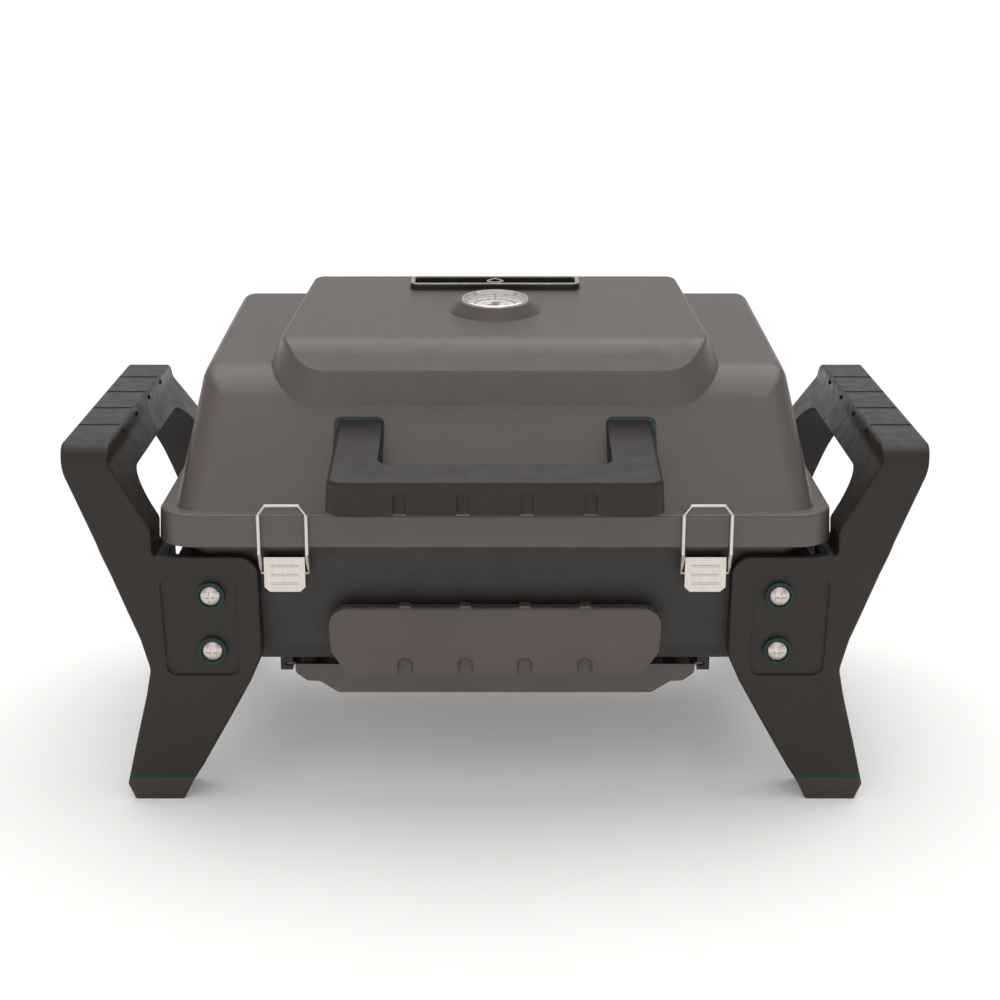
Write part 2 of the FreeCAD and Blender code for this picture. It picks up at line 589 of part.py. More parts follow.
# ------------------------------------------------------------------- latches
def make_latch():
    py, pz = LEVER_PIVOT
    by, bz = BAIL_PIVOT
    base = box(-12.0, 12.0, -147.4, -138.0, 166.0, 186.0)
    for sx in (-1, 1):
        ear = prism_x([(-147.0, 179.0), (py - 3.0, pz - 1.0, 2.0), (py - 3.0, pz + 2.4, 2.0),
                       (-147.0, pz + 2.4)], sx * 10.0 - 1.2, sx * 10.0 + 1.2)
        base = base.fuse(ear)
    base = base.cut(rod((-20, py, pz), (20, py, pz), 1.5)).cut(firebox_outer)
    pin = rod((-15.0, py, pz), (15.0, py, pz), 1.5)
    face = prism_y([(-LEVER_HALF, 166.0), (-LEVER_HALF + 3.8, 162.4), (LEVER_HALF - 3.8, 162.4),
                    (LEVER_HALF, 166.0), (LEVER_HALF, 188.4), (-LEVER_HALF, 188.4)], -154.8, -153.6)
    for z in (168.6, 175.2, 181.8):
        face = face.fuse(rod((-9.8, -154.7, z), (9.8, -154.7, z), 0.8))
    lever = face
    for sx in (-1, 1):
        flange = prism_x([(-154.2, 165.4), (-154.2, 188.4), (-148.6, 188.4, 1.5), (-148.0, 172.0, 1.5)],
                         *sorted((sx * LEVER_HALF, sx * (LEVER_HALF - 1.2))))
        lever = lever.fuse(flange)
    lever = lever.cut(rod((-20, py, pz), (20, py, pz), 1.5 + RUNNING))
    lever = lever.cut(rod((-20, by, bz), (20, by, bz), 1.0 + RUNNING))
    leg = []
    for x in (-BAIL_HALF, BAIL_HALF):
        leg.append(bent_rod([(x * 0.734, by, bz), (x, by, bz), (x, -153.6, 181.0)], 1.0))
        leg.append(bent_rod([(x, -153.0, 180.0), (x, BAIL_Y, 192.5), (x, BAIL_Y, 221.6)], 1.4))
    top = bent_rod([(-BAIL_HALF, BAIL_Y, 221.6), (-12.0, BAIL_Y, BAIL_TOP), (12.0, BAIL_Y, BAIL_TOP),
                    (BAIL_HALF, BAIL_Y, 221.6)], 1.0)
    bail = fuse(leg + [top])
    return base.removeSplitter(), pin, lever.removeSplitter(), bail


latch_base, latch_pin, latch_lever, latch_bail = make_latch()
for side, sx in (("right", 1), ("left", -1)):
    for name, shape in (("latch_base", latch_base), ("latch_pin", latch_pin),
                        ("latch_lever", latch_lever), ("latch_bail", latch_bail)):
        save(name + "_" + side, moved(shape, sx * LATCH_X, 0, 0))

# -------------------------------------------------------------- grease tray
TRAY_OUT = [(148.4, 92.2), (148.4, 85.5, 5.0), (140.0, 79.0, 6.0), (130.5, 78.5, 6.0), (116.5, 69.5, 7.0),
            (-116.5, 69.5, 7.0), (-130.5, 78.5, 6.0), (-140.0, 79.0, 6.0), (-148.4, 85.5, 5.0),
            (-148.4, 92.2)]
tray_face = outline(TRAY_OUT, lambda x, z: V(x, -TRAY_HALF_Y, z))
tray = tray_face.extrude(V(0, 2 * TRAY_HALF_Y, 0))
hollow = outline([(x * (1 - 1.8 / abs(x)), z + (1.8 if z < 92 else 6.0)) + tuple(r) for x, z, *r in TRAY_OUT],
                 lambda x, z: V(x, -TRAY_HALF_Y + 1.8, z)).extrude(V(0, 2 * TRAY_HALF_Y - 3.6, 0))
tray = tray.cut(hollow)
for sx in (-1, 1):
    x0, x1 = sorted((sx * 148.0, sx * 155.0))
    tray = tray.fuse(box(x0, x1, -TRAY_HALF_Y + 4, TRAY_HALF_Y, 90.2, 92.2))
# strap and plate that carry the pull
strap = prism_x([(-TRAY_HALF_Y + 1.0, 84.0), (-TRAY_HALF_Y + 1.0, 86.0), (-139.0, 97.0), (PLATE_Y, 98.0),
                 (PLATE_Y, 95.5), (-139.0, 94.5)], -70, 70)
plate = prism_y([(-104.0, 95.5, 3.0), (104.0, 95.5, 3.0), (104.0, 149.0, 12.0), (-104.0, 149.0, 12.0)],
                PULL_BACK, PLATE_Y)
tray = fuse([tray, strap, plate])
for x in PULL_SCREW_X:
    tray = tray.cut(rod((x, -150, PULL_SCREW_Z), (x, -140, PULL_SCREW_Z), 1.7))
save("grease_tray", tray)


def make_pull():
    front = prism_y([(-119.4, 134.0, 6.0), (-117.8, 117.0, 4.0), (-103.0, 99.3, 2.0), (103.0, 99.3, 2.0),
                     (117.8, 117.0, 4.0), (119.4, 134.0, 6.0), (118.0, 151.3, 15.0), (-118.0, 151.3, 15.0)],
                    -170, -140)
    side = prism_x([(-158.5, 151.3, 3.0), (-165.5, 128.5, 10.0), (-160.0, 99.3, 4.0), (-148.0, 99.3),
                    (-148.0, 151.3, 2.0)], -130, 130)
    plan = prism_z([(-120.0, -155.0, 4.0), (-102.0, -165.5, 14.0), (102.0, -165.5, 14.0),
                    (120.0, -155.0, 4.0), (120.0, -148.0), (-120.0, -148.0)], 90, 160)
    body = front.common(side).common(plan)
    body = body.cut(prism_z(rect(98.0, -157.0, -140.0, 5.0), 119.0, 147.0))
    for x in PULL_SCREW_X:
        body = body.fuse(rod((x, -159.0, PULL_SCREW_Z), (x, PULL_BACK, PULL_SCREW_Z), 4.0))
        body = body.cut(rod((x, -157.5, PULL_SCREW_Z), (x, PULL_BACK, PULL_SCREW_Z), 1.5))
    for x in PULL_NOTCH_X:
        body = body.cut(bent_rod([(x, -162.6, 90.0), (x, -163.6, 109.2), (x, -175.0, 109.2)], 6.2))
        bump = Part.makeCylinder(6.2, 9.0, V(x, -157.6, 146.9), V(0, 1, 0)).common(
            box(x - 7, x + 7, -158, -148, 151.0, 152.6))
        body = body.fuse(bump)
    return body.removeSplitter()


save("tray_pull", make_pull())
pull_screws = []
for x in PULL_SCREW_X:
    shank = rod((x, -157.0, PULL_SCREW_Z), (x, PLATE_Y + 0.5, PULL_SCREW_Z), 1.45)
    pull_screws.append(shank.fuse(rod((x, PLATE_Y, PULL_SCREW_Z), (x, PLATE_Y + 1.6, PULL_SCREW_Z), 3.0)))
save("tray_pull_screws", Part.makeCompound(pull_screws))
for side, sx in (("right", 1), ("left", -1)):
    rail = box(RAIL_X0, RAIL_X1, -115.0, 118.0, 86.5, BOX_BOTTOM)
    rail = rail.cut(box(RAIL_X0 - 1, 155.6, -120.0, 118.4, 89.8, 92.6))
    rail = rail.fuse(box(RAIL_X0, RAIL_X1, 118.4, 120.4, 86.5, BOX_BOTTOM))
    if sx < 0:
        rail = mirror_x(rail)
    save("tray_rail_" + side, rail.removeSplitter())

# ------------------------------------------------------------ cooking grate
grate = prism_z(rect(207.0, -134.0, 134.0, 14.0), 176.0, 183.0)
grate = grate.cut(prism_z(rect(199.0, -126.0, 126.0, 8.0), 170.0, 190.0))
bars = [grate]
for i in range(-13, 14):
    x = i * 14.4
    bars.append(prism_y([(x - 3.0, 177.0), (x + 3.0, 177.0), (x + 2.0, 183.0, 1.2), (x - 2.0, 183.0, 1.2)],
                        -130, 130))
for y in (-84.0, -28.0, 28.0, 84.0):
    bars.append(box(-203, 203, y - 3, y + 3, 176.0, 180.0))
grate = fuse(bars)
grate = grate.fuse(fuse([box(sx * 90 - 26, sx * 90 + 26, sy * 56 - 2, sy * 56 + 2, 176, 183)
                         for sx in (-1, 1) for sy in (-1, 1)]))
save("cooking_grate", grate.removeSplitter())

# ------------------------------------------------------ burner and heat tent
burner = rod((-168.0, 0, BURNER_Z), (226.0, 0, BURNER_Z), BURNER_R)
burner = burner.cut(rod((-166.5, 0, BURNER_Z), (230.0, 0, BURNER_Z), BURNER_R - 1.2))
for i in range(16):
    x = -150.0 + i * 20.0
    burner = burner.cut(rod((x, -14, BURNER_Z + 4), (x, 14, BURNER_Z + 4), 1.3))
save("burner_tube", burner)
clip = box(-160.0, -146.0, -15.0, 15.0, BOX_BOTTOM + BOX_WALL, BURNER_Z + 2.0)
clip = clip.cut(rod((-170.0, 0, BURNER_Z), (-140.0, 0, BURNER_Z), BURNER_R))
clip = clip.cut(box(-170, -140, -12.0, 12.0, BURNER_Z - 30, BURNER_Z - BURNER_R - 2.0))
save("burner_clip", clip.cut(firebox).removeSplitter())
roof = prism_x([(-52.0, 146.0), (0.0, 160.0), (52.0, 146.0), (52.0, 147.4), (0.0, 161.4), (-52.0, 147.4)],
               -190, 190)
tent = [roof]
for x in (-188.0, 182.0):
    tent.append(prism_x([(-50.0, 103.0), (-36.0, 103.0), (-16.0, 140.0), (16.0, 140.0), (36.0, 103.0),
                         (50.0, 103.0), (50.0, 147.0), (0.0, 160.5), (-50.0, 147.0)], x, x + 1.6))
tent = fuse(tent).cut(rod((205.0, 0, VALVE_Z), (150.0, 0, VALVE_Z), 5.0))
save("heat_tent", tent.cut(firebox).removeSplitter())

# ------------------------------------------------- gas panel, valve, igniter
panel = prism_z([(200.0, -72.0), (PANEL_X, -72.0, 12.0), (PANEL_X, 72.0, 12.0), (200.0, 72.0)],
                116.0, 191.2)
panel = panel.makeFillet(6.0, edges_where(panel, lambda e: e.BoundBox.ZMin > 191 and e.BoundBox.XMax > 240))
cavity = prism_z([(190.0, -69.0), (PANEL_X - 3.0, -69.0, 9.0), (PANEL_X - 3.0, 69.0, 9.0), (190.0, 69.0)],
                 119.0, 186.5)
panel = panel.cut(cavity).cut(firebox_outer)
panel = panel.cut(prism_z(rect(BOX_HALF_X + 4.2, -BOX_HALF_Y, BOX_HALF_Y, 28.0), BEAD_LOW - 2, 200))
panel = panel.cut(box(200.0, 229.0, -8.0, 8.0, 110.0, 120.0))
for y, radius in ((KNOB_Y, 6.0), (0.0, 9.2), (INLET_Y, 17.2)):
    panel = panel.cut(rod((240.0, y, VALVE_Z), (260.0, y, VALVE_Z), radius))
save("gas_panel", panel.removeSplitter())

INLET_BORE = 12.2
block = fuse([
    prism_x(rect(62.0, 138.0, 162.0, 6.0), 233.0, 244.0),
    rod((240.0, KNOB_Y, VALVE_Z), (253.0, KNOB_Y, VALVE_Z), 5.8),
    rod((237.0, INLET_Y, VALVE_Z), (262.0, INLET_Y, VALVE_Z), 17.0),
    rod((233.5, 0, BURNER_Z), (240.0, 0, BURNER_Z), 9.0),
    box(236.0, 243.0, -8.0, 8.0, BURNER_Z - 4, 142.0),
    rod((222.0, 0, BURNER_Z), (236.0, 0, BURNER_Z), 5.0)])
block = block.cut(rod((246.0, INLET_Y, VALVE_Z), (270.0, INLET_Y, VALVE_Z), INLET_BORE))
block = block.cut(rod((242.8, INLET_Y, VALVE_Z), (250.0, INLET_Y, VALVE_Z), 9.05))
block = block.cut(rod((239.0, INLET_Y, VALVE_Z), (250.0, INLET_Y, VALVE_Z), 2.0))
block = block.cut(rod((238.0, KNOB_Y, VALVE_Z), (260.0, KNOB_Y, VALVE_Z), 3.0 + RUNNING))
block = block.cut(rod((220.0, 0, BURNER_Z), (230.0, 0, BURNER_Z), 0.8))
block = block.cut(rod((230.0, 0, VALVE_Z), (250.0, 0, VALVE_Z), 9.3))
save("regulator_block", block.removeSplitter())
seal = rod((242.8, INLET_Y, VALVE_Z), (245.7, INLET_Y, VALVE_Z), 9.0)
seal = seal.cut(rod((240.0, INLET_Y, VALVE_Z), (250.0, INLET_Y, VALVE_Z), 5.6))
save("inlet_seal", seal)

knob = rod((254.0, KNOB_Y, VALVE_Z), (275.0, KNOB_Y, VALVE_Z), 18.5)
knob = knob.makeFillet(2.5, edges_where(knob, lambda e: e.BoundBox.XMin > 274.5))
knob = knob.fuse(rod((254.0, KNOB_Y, VALVE_Z), (257.5, KNOB_Y, VALVE_Z), 21.5))
for i in range(18):
    a = math.radians(i * 20.0 + 10.0)
    y, z = KNOB_Y + 19.3 * math.cos(a), VALVE_Z + 19.3 * math.sin(a)
    knob = knob.cut(rod((257.5, y, z), (280.0, y, z), 1.9))
knob = knob.fuse(box(274.0, 278.0, KNOB_Y - 2.4, KNOB_Y + 2.4, VALVE_Z - 15.0, VALVE_Z + 15.0))
knob = knob.fuse(rod((239.0, KNOB_Y, VALVE_Z), (256.0, KNOB_Y, VALVE_Z), 3.0))
save("control_knob", knob.removeSplitter())

igniter = rod((226.8, 0, VALVE_Z), (243.0, 0, VALVE_Z), 8.0)
igniter = igniter.cut(rod((236.0, 0, VALVE_Z), (250.0, 0, VALVE_Z), 5.0 + RUNNING))
igniter = igniter.fuse(rod((192.0, 0, VALVE_Z), (227.5, 0, VALVE_Z), 3.0))
igniter = igniter.fuse(bent_rod([(193.0, 0, VALVE_Z), (180.0, 0, VALVE_Z), (180.0, 0, 141.5)], 0.9))
save("igniter_body", igniter.removeSplitter())
collar = rod((PANEL_X, 0, VALVE_Z), (PANEL_X + 2.0, 0, VALVE_Z), 12.0)
collar = collar.fuse(rod((246.0, 0, VALVE_Z), (PANEL_X + 1.0, 0, VALVE_Z), 9.2))
collar = collar.cut(rod((240.0, 0, VALVE_Z), (260.0, 0, VALVE_Z), 7.0 + RUNNING))
save("igniter_collar", collar.removeSplitter())
button = rod((248.0, 0, VALVE_Z), (259.0, 0, VALVE_Z), 7.0)
button = button.makeFillet(1.8, edges_where(button, lambda e: e.BoundBox.XMin > 258.5))
button = button.fuse(rod((241.0, 0, VALVE_Z), (249.0, 0, VALVE_Z), 5.0))
save("igniter_button", button.removeSplitter())
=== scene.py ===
import json
import math

import bmesh
import bpy
from mathutils import Matrix, Vector


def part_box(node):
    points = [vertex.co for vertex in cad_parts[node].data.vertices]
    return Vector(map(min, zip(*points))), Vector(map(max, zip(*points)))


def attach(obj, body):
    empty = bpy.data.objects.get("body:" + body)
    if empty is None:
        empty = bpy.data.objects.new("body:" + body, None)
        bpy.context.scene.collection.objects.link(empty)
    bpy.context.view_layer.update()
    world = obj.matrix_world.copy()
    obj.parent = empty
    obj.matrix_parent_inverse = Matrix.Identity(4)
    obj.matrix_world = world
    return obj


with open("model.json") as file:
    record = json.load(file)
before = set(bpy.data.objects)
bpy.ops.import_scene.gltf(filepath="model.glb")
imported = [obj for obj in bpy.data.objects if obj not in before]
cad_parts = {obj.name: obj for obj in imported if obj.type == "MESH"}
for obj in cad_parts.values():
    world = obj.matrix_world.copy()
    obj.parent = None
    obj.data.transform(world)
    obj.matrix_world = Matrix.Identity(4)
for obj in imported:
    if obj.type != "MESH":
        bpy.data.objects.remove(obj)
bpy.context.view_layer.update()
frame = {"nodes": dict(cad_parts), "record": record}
nodes = frame["nodes"]
scene = bpy.context.scene

MM = 0.001
NOISE_BAND = (0.3, 0.7)     # where most of a noise texture's values lie


# ------------------------------------------------------------------ materials
def linear(rgb):
    """sRGB 0-255 to a linear colour."""
    out = []
    for value in rgb:
        c = value / 255.0
        out.append(c / 12.92 if c <= 0.04045 else ((c + 0.055) / 1.055) ** 2.4)
    return (*out, 1.0)


def scaled(rgb, factor):
    """The same hue, lighter or darker."""
    return tuple(min(255.0, c * factor) for c in rgb)


FULL_EDGE = 1.0 - 0.35      # cosine between flat and rounded normals where an edge counts in full


class Finish:
    """A node material built up in small steps on one Principled shader."""

    def __init__(self, name, metallic=0.0, specular=0.5, coat=0.0, coat_rough=0.1):
        self.material = bpy.data.materials.new(name)
        self.material.use_nodes = True
        self.tree = self.material.node_tree
        self.tree.nodes.clear()
        self.shader = self.add("ShaderNodeBsdfPrincipled")
        out = self.add("ShaderNodeOutputMaterial")
        self.join(self.shader.outputs["BSDF"], out.inputs["Surface"])
        self.place = self.add("ShaderNodeTexCoord").outputs["Object"]
        self.shader.inputs["Metallic"].default_value = metallic
        self.shader.inputs["Specular IOR Level"].default_value = specular
        self.shader.inputs["Coat Weight"].default_value = coat
        self.shader.inputs["Coat Roughness"].default_value = coat_rough
        self.normal = None

    def add(self, kind):
        return self.tree.nodes.new(kind)

    def join(self, source, target):
        self.tree.links.new(source, target)

    def stretched(self, scale):
        """Object coordinates scaled unevenly, for brushed or drawn grain."""
        mapping = self.add("ShaderNodeMapping")
        mapping.inputs["Scale"].default_value = scale
        self.join(self.place, mapping.inputs["Vector"])
        return mapping.outputs["Vector"]

    def noise(self, scale, detail=2.0, roughness=0.5, where=None, distortion=0.0):
        node = self.add("ShaderNodeTexNoise")
        node.inputs["Scale"].default_value = scale
        node.inputs["Detail"].default_value = detail
        node.inputs["Roughness"].default_value = roughness
        node.inputs["Distortion"].default_value = distortion
        self.join(where or self.place, node.inputs["Vector"])
        return node.outputs["Fac"]

    def cells(self, scale):
        node = self.add("ShaderNodeTexVoronoi")
        node.inputs["Scale"].default_value = scale
        self.join(self.place, node.inputs["Vector"])
        return node.outputs["Distance"]

    def ranged(self, source, low, high, to_low, to_high):
        node = self.add("ShaderNodeMapRange")
        for name, value in (("From Min", low), ("From Max", high), ("To Min", to_low), ("To Max", to_high)):
            node.inputs[name].default_value = value
        self.join(source, node.inputs["Value"])
        return node.outputs["Result"]

    def mixed(self, factor, a, b):
        """Mixes colours; factor, a and b are sockets or values."""
        node = self.add("ShaderNodeMix")
        node.data_type = "RGBA"
        for socket, value in ((node.inputs[0], factor), (node.inputs[6], a), (node.inputs[7], b)):
            if isinstance(value, bpy.types.NodeSocket):
                self.join(value, socket)
            else:
                socket.default_value = value
        return node.outputs[2]

    def mottled(self, source, dark, light, band=NOISE_BAND):
        """Blends two sRGB colours as source crosses the band."""
        return self.mixed(self.ranged(source, *band, 0.0, 1.0), linear(dark), linear(light))

    def edge_highlighted(self, edge, amount, body, light):
        """The body colour, blended towards a lighter sRGB one along the edges, as a painted highlight."""
        return self.mixed(self.ranged(edge, 0.0, 1.0, 0.0, amount), body, linear(light))

    def edges(self, radius):
        """1 along the edges, 0 on the flats; also rounds the shaded edges."""
        bevel = self.add("ShaderNodeBevel")
        bevel.samples = 4
        bevel.inputs["Radius"].default_value = radius
        self.normal = bevel.outputs["Normal"]
        flat = self.add("ShaderNodeNewGeometry").outputs["Normal"]
        dot = self.add("ShaderNodeVectorMath")
        dot.operation = "DOT_PRODUCT"
        self.join(bevel.outputs["Normal"], dot.inputs[0])
        self.join(flat, dot.inputs[1])
        return self.ranged(dot.outputs["Value"], 1.0, FULL_EDGE, 0.0, 1.0)

    def colour(self, value):
        socket = self.shader.inputs["Base Color"]
        if isinstance(value, bpy.types.NodeSocket):
            self.join(value, socket)
        else:
            socket.default_value = value

    def roughness(self, source, to_low, to_high, band=NOISE_BAND):
        self.join(self.ranged(source, *band, to_low, to_high), self.shader.inputs["Roughness"])

    def bump(self, source, strength, distance):
        """Bumps are chained, the first one sits deepest."""
        node = self.add("ShaderNodeBump")
        node.inputs["Strength"].default_value = strength
        node.inputs["Distance"].default_value = distance
        self.join(source, node.inputs["Height"])
        if self.normal is not None:
            self.join(self.normal, node.inputs["Normal"])
        self.normal = node.outputs["Normal"]
        self.join(self.normal, self.shader.inputs["Normal"])


def powder_coat(name, rgb, rough, grain=1.0):
    """Baked satin paint: faint orange peel, fine speckle, and a painted highlight that makes the edges a
    little lighter.
    """
    mottle, speckle_lift, edge_highlight_lift = 0.035, 1.35, 1.45
    f = Finish(name, specular=0.62)
    broad = f.noise(9.0, 3.0)
    speck = f.noise(1900.0, 1.0)
    body = f.mottled(broad, scaled(rgb, 1.0 - mottle), scaled(rgb, 1.0 + mottle))
    body = f.mixed(f.ranged(speck, 0.35, 0.75, 0.0, 0.22), body, linear(scaled(rgb, speckle_lift)))
    # painted highlight: the colour turns lighter along the rounded edges
    f.colour(f.edge_highlighted(f.edges(0.8 * MM), 0.6, body, scaled(rgb, edge_highlight_lift)))
    f.roughness(f.noise(60.0, 4.0), rough - 0.05, rough + 0.06)
    f.bump(f.noise(330.0, 2.0), 0.10 * grain, 0.6 * MM)
    f.bump(speck, 0.16 * grain, 0.2 * MM)
    return f.material


def moulded(name, rgb, rough, grain=1.0, specular=0.42):
    """Injection-moulded plastic with an eroded, leathery grain, and a painted highlight along its edges."""
    mottle, cell_lift, edge_highlight_lift = 0.05, 1.2, 2.0
    f = Finish(name, specular=specular)
    broad = f.noise(14.0, 3.0)
    cell = f.cells(1500.0)
    body = f.mottled(broad, scaled(rgb, 1.0 - mottle), scaled(rgb, 1.0 + mottle))
    body = f.mixed(f.ranged(cell, 0.1, 0.7, 0.0, 0.25), body, linear(scaled(rgb, cell_lift)))
    # painted highlight: the colour turns much lighter along the rounded edges
    f.colour(f.edge_highlighted(f.edges(0.9 * MM), 0.6, body, scaled(rgb, edge_highlight_lift)))
    f.roughness(f.noise(90.0, 3.0), rough - 0.06, rough + 0.07)
    f.bump(cell, 0.22 * grain, 0.25 * MM)
    f.bump(f.noise(420.0, 2.0), 0.06 * grain, 0.4 * MM)
    return f.material


def brushed(name, rgb, along, rough, tint=None, strength=0.08):
    """Drawn or brushed bare metal, its grain running along one axis."""
    grain_along, grain_across = 60.0, 2600.0
    scale = [grain_along if axis == along else grain_across for axis in "XYZ"]
    f = Finish(name, metallic=1.0)
    grain = f.noise(1.0, 2.0, where=f.stretched(scale))
    body = f.mottled(grain, scaled(rgb, 0.93), scaled(rgb, 1.05))
    if tint:
        stain = f.noise(18.0, 4.0, distortion=0.6)
        body = f.mixed(f.ranged(stain, 0.42, 0.68, 0.0, 0.75), body, linear(tint))
    f.edges(0.4 * MM)
    f.colour(body)
    f.roughness(grain, rough - 0.07, rough + 0.09)
    f.bump(grain, strength, 0.1 * MM)
    return f.material


def rubber(name, rgb):
    """Dull soft rubber with a fine matt skin."""
    f = Finish(name, specular=0.35)
    f.colour(f.mottled(f.noise(120.0, 3.0), scaled(rgb, 0.88), scaled(rgb, 1.1)))
    f.roughness(f.noise(300.0, 2.0), 0.5, 0.66)
    f.bump(f.noise(1400.0, 2.0), 0.2, 0.2 * MM)
    return f.material


def sheet_paint(name, rgb):
    """Thin painted sheet steel with soft drawing marks and a painted highlight along its edges."""
    mottle, edge_highlight_lift = 0.06, 1.5
    f = Finish(name, specular=0.5, coat=0.15, coat_rough=0.3)
    body = f.mottled(f.noise(20.0, 3.0), scaled(rgb, 1.0 - mottle), scaled(rgb, 1.0 + mottle))
    # painted highlight: the colour turns lighter along the edges
    f.colour(f.edge_highlighted(f.edges(0.6 * MM), 0.5, body, scaled(rgb, edge_highlight_lift)))
    f.roughness(f.noise(80.0, 3.0), 0.34, 0.46)
    f.bump(f.noise(1.0, 2.0, where=f.stretched((90.0, 500.0, 500.0))), 0.05, 0.4 * MM)
    return f.material


def enamelled_iron(name):
    """Black porcelain enamel over cast iron: pooled gloss over a rough casting."""
    f = Finish(name, specular=0.55, coat=0.35, coat_rough=0.18)
    cast = f.noise(260.0, 4.0, 0.6)
    f.colour(f.mottled(f.noise(35.0, 4.0), (20, 19, 19), (38, 35, 33), band=(0.35, 0.65)))
    f.roughness(cast, 0.26, 0.5)
    f.bump(cast, 0.35, 0.8 * MM)
    f.bump(f.noise(1300.0, 2.0), 0.1, 0.2 * MM)
    return f.material


def machined_brass(name):
    """Turned brass, its tool marks across the axis of the inlet."""
    f = Finish(name, metallic=1.0)
    rings = f.noise(1.0, 1.0, where=f.stretched((2400.0, 40.0, 40.0)))
    f.colour(f.mottled(f.noise(40.0, 3.0), (176, 138, 74), (200, 166, 98)))
    f.edges(0.4 * MM)
    f.roughness(rings, 0.22, 0.38)
    f.bump(rings, 0.12, 0.1 * MM)
    return f.material


def glazed_ceramic(name):
    """Off-white glazed insulator."""
    f = Finish(name, specular=0.5, coat=0.5, coat_rough=0.06)
    f.colour(f.mottled(f.noise(90.0, 4.0), (214, 208, 196), (228, 224, 214)))
    f.roughness(f.noise(200.0, 2.0), 0.22, 0.36)
    f.bump(f.noise(500.0, 2.0), 0.04, 0.3 * MM)
    return f.material


def clear_glass(name):
    """A thin flat lens that lets light through to the dial, with faint smears."""
    faint_green, opacity = (0.82, 0.86, 0.86, 1.0), 0.12
    f = Finish(name, specular=0.5, coat=0.2, coat_rough=0.04)
    f.colour(faint_green)
    f.shader.inputs["Alpha"].default_value = opacity
    smear = f.noise(160.0, 3.0)
    f.roughness(smear, 0.03, 0.12, band=(0.35, 0.75))
    f.bump(smear, 0.01, 0.2 * MM)
    return f.material


def printed(name, rgb, rough=0.42):
    """Screen-printed ink: very slightly uneven."""
    f = Finish(name, specular=0.4)
    ink = f.noise(900.0, 3.0)
    f.colour(f.mottled(ink, scaled(rgb, 0.94), scaled(rgb, 1.03)))
    f.roughness(ink, rough - 0.06, rough + 0.08)
    f.bump(ink, 0.08, 0.05 * MM)
    return f.material


# colours are sRGB, 0 to 255
LOOKS = {
    "lid_cast": powder_coat("lid_cast", (79, 70, 67), rough=0.38),
    "firebox_cast": powder_coat("firebox_cast", (27, 23, 19), rough=0.52, grain=1.5),
    "frame_plastic": moulded("frame_plastic", (32, 26, 22), rough=0.43, specular=0.38),
    "foot_plastic": moulded("foot_plastic", (54, 45, 42), rough=0.5, specular=0.36),
    "teal_rubber": rubber("teal_rubber", (16, 48, 44)),
    "pull_plastic": moulded("pull_plastic", (80, 71, 68), rough=0.42, grain=0.7),
    "tray_steel": sheet_paint("tray_steel", (82, 73, 70)),
    "bright_steel": brushed("bright_steel", (214, 205, 198), along="Z", rough=0.34),
    # darker steel: partly the steel's own tone, partly painted shade for the latch parts that sit in shadow
    "dark_steel": brushed("dark_steel", (70, 62, 54), along="X", rough=0.42),
    "gauge_chrome": brushed("gauge_chrome", (226, 221, 216), along="X", rough=0.16, strength=0.02),
    "gauge_glass": clear_glass("gauge_glass"),
    "dial_white": printed("dial_white", (243, 240, 236)),
    "pointer_red": printed("pointer_red", (190, 38, 32), rough=0.3),
    "badge_black": powder_coat("badge_black", (26, 24, 24), rough=0.26, grain=0.4),
    "badge_silver": brushed("badge_silver", (206, 198, 190), along="X", rough=0.24, strength=0.05),
    "cast_iron": enamelled_iron("cast_iron"),
    "stainless": brushed("stainless", (188, 184, 178), along="X", rough=0.34, tint=(150, 118, 82)),
    "brass": machined_brass("brass"),
    "black_plastic": moulded("black_plastic", (30, 28, 27), rough=0.4, grain=0.7),
    "ceramic_white": glazed_ceramic("ceramic_white"),
}


def paint(obj, look):
    obj.data.materials.clear()
    obj.data.materials.append(LOOKS[look])


for entry in frame["record"]["subparts"]:
    paint(nodes[entry["node"]], entry["material_slot"])


# ------------------------------------------------------------ small mesh work
def build(name, verts, faces, look, body, smooth=False):
    """A mesh piece painted with a look and carried by a CAD body."""
    mesh = bpy.data.meshes.new(name)
    mesh.from_pydata([tuple(v) for v in verts], [], faces)
    mesh.update()
    clean = bmesh.new()
    clean.from_mesh(mesh)
    bmesh.ops.recalc_face_normals(clean, faces=clean.faces)
    clean.to_mesh(mesh)
    clean.free()
    obj = bpy.data.objects.new(name, mesh)
    scene.collection.objects.link(obj)
    for polygon in mesh.polygons:
        polygon.use_smooth = smooth
    paint(obj, look)
    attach(obj, body)
    return obj


def slabs(outlines, z0, z1, place):
    """Thin closed prisms from flat outlines; place() maps (x, y, z) into the object's frame."""
    verts, faces = [], []
    for outline in outlines:
        n, base = len(outline), len(verts)
        verts += [place(x, y, z0) for x, y in outline] + [place(x, y, z1) for x, y in outline]
        faces.append([base + i for i in range(n)][::-1])
        faces.append([base + n + i for i in range(n)])
        faces += [[base + i, base + (i + 1) % n, base + n + (i + 1) % n, base + n + i] for i in range(n)]
    return verts, faces


def arc_band(r0, r1, a0, a1, steps):
    """Outline of part of a ring, angles in degrees."""
    turn = [math.radians(a0 + (a1 - a0) * i / steps) for i in range(steps + 1)]
    return ([(r1 * math.cos(a), r1 * math.sin(a)) for a in turn]
            + [(r0 * math.cos(a), r0 * math.sin(a)) for a in reversed(turn)])


def tick(r0, r1, width, angle):
    """Outline of a radial mark from radius r0 to r1, angle in degrees."""
    c, s = math.cos(math.radians(angle)), math.sin(math.radians(angle))
    h = width / 2
    return [(r0 * c + h * s, r0 * s - h * c), (r1 * c + h * s, r1 * s - h * c),
            (r1 * c - h * s, r1 * s + h * c), (r0 * c - h * s, r0 * s + h * c)]


def in_metres(outline):
    return [(x * MM, y * MM) for x, y in outline]


